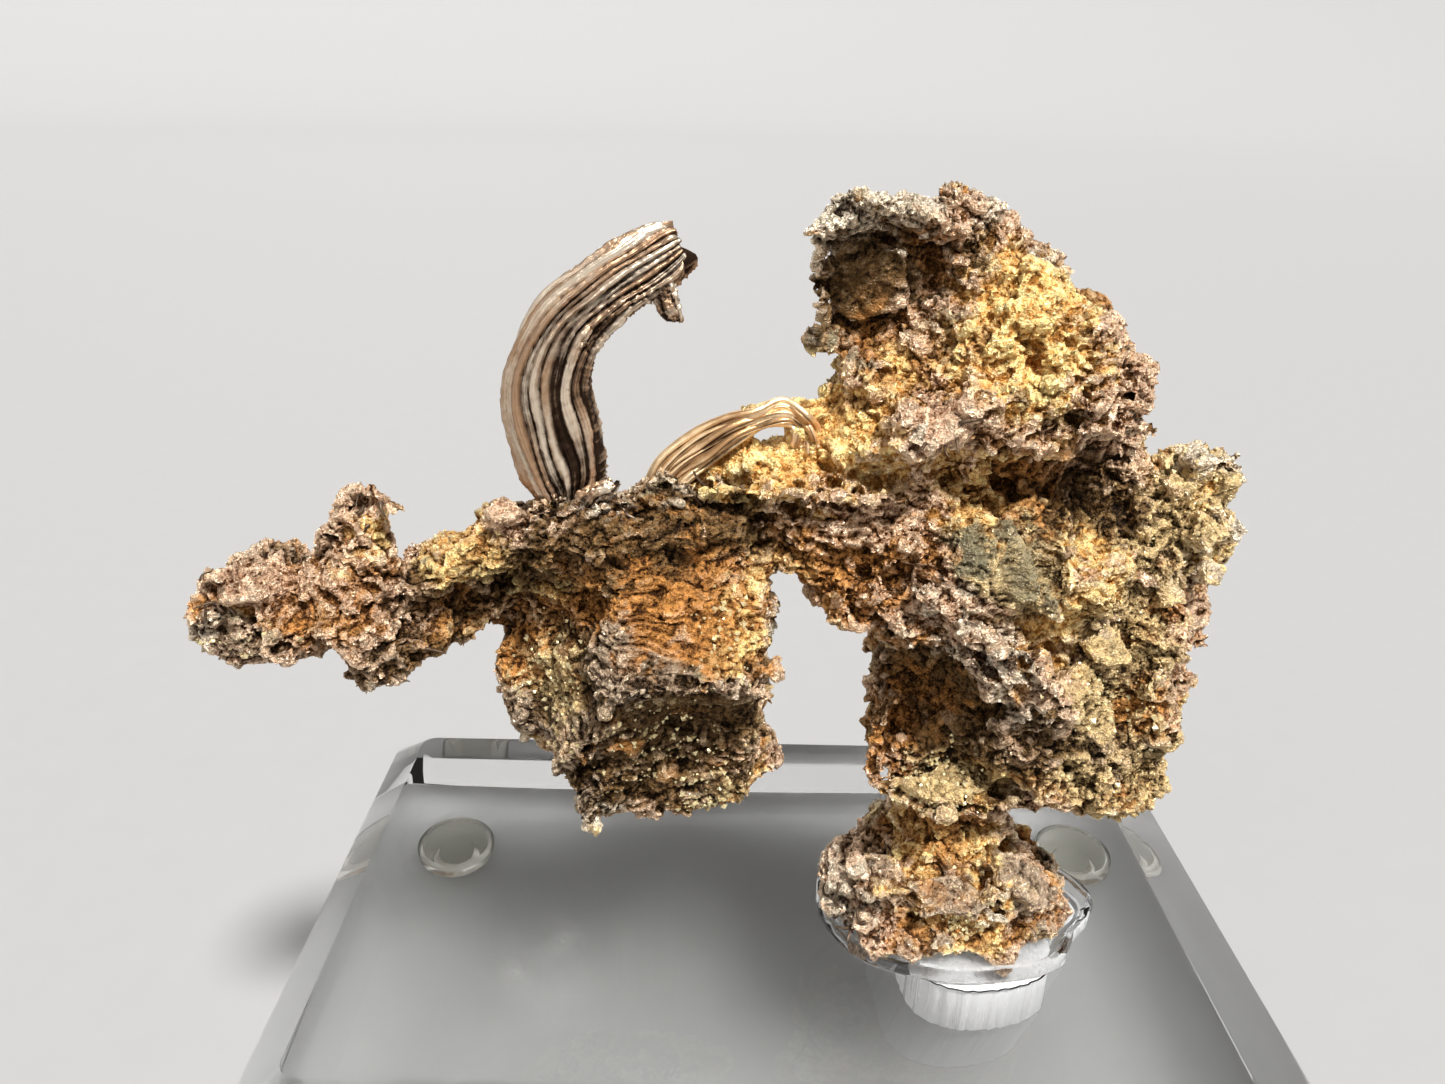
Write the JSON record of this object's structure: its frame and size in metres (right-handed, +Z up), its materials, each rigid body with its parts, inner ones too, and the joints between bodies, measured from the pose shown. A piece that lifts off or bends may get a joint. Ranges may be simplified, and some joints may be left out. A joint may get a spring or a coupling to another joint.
{
  "type": "native silver specimen on acrylic stand",
  "caption": "Branching hackly native silver specimen with a curled fluted wire ribbon, held on its foot in a carved riser on a bevelled clear block with bumpers.",
  "frame": {"origin": "centre of the stand's footprint, on the surface that the bumpers rest on", "axes": "+X towards the viewer's right along the stand's long side, +Y away from the viewer, +Z up"},
  "size_m": [0.0996, 0.061, 0.1011],
  "materials": {
    "clear_acrylic": "clear polished acrylic",
    "carved_acrylic": "clear acrylic with milled, satin sides",
    "bumper_plastic": "clear soft bumper, faintly yellow",
    "wire_silver": "satin striated silver with brown tarnish in the grooves",
    "hackly_silver": "hackly silver and iron-stained matrix, gold, mauve and grey",
    "dark_matrix": "striated rust-brown matrix with small bright grains"
  },
  "bodies": {
    "root": {"acrylic_base": "clear_acrylic", "acrylic_riser": "carved_acrylic", "bumper_front_left": "bumper_plastic", "bumper_front_right": "bumper_plastic", "bumper_back_left": "bumper_plastic", "bumper_back_right": "bumper_plastic", "silver_curl": "wire_silver", "left_arm": "hackly_silver", "silver_bridge": "hackly_silver", "silver_crown": "hackly_silver", "right_lobe": "hackly_silver", "silver_column": "hackly_silver", "hanging_block": "dark_matrix"}
  },
  "joints": []
}
